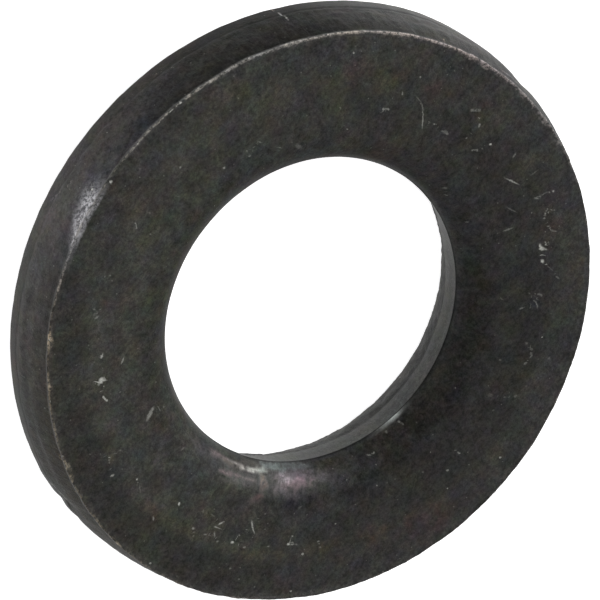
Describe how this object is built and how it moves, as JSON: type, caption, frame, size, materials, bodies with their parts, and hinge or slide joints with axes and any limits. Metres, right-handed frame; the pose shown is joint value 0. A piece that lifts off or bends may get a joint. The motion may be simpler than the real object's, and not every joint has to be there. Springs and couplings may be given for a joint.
{
  "type": "flat washer",
  "caption": "Thick round stamped steel flat washer with a drawn-in bore lip, a rolled underside rim and a sharp blanked upper rim.",
  "frame": {"origin": "centre of the underside, on the bore's axis", "axes": "+Z along the bore's axis, from the underside (rolled rim) to the upper face (sharp blanked rim, drawn-in bore lip); X and Y are free because the washer is round"},
  "size_m": [0.027, 0.027, 0.004],
  "materials": {
    "blackened_steel": "satin"
  },
  "bodies": {
    "root": {"flat_washer": "blackened_steel"}
  },
  "joints": []
}
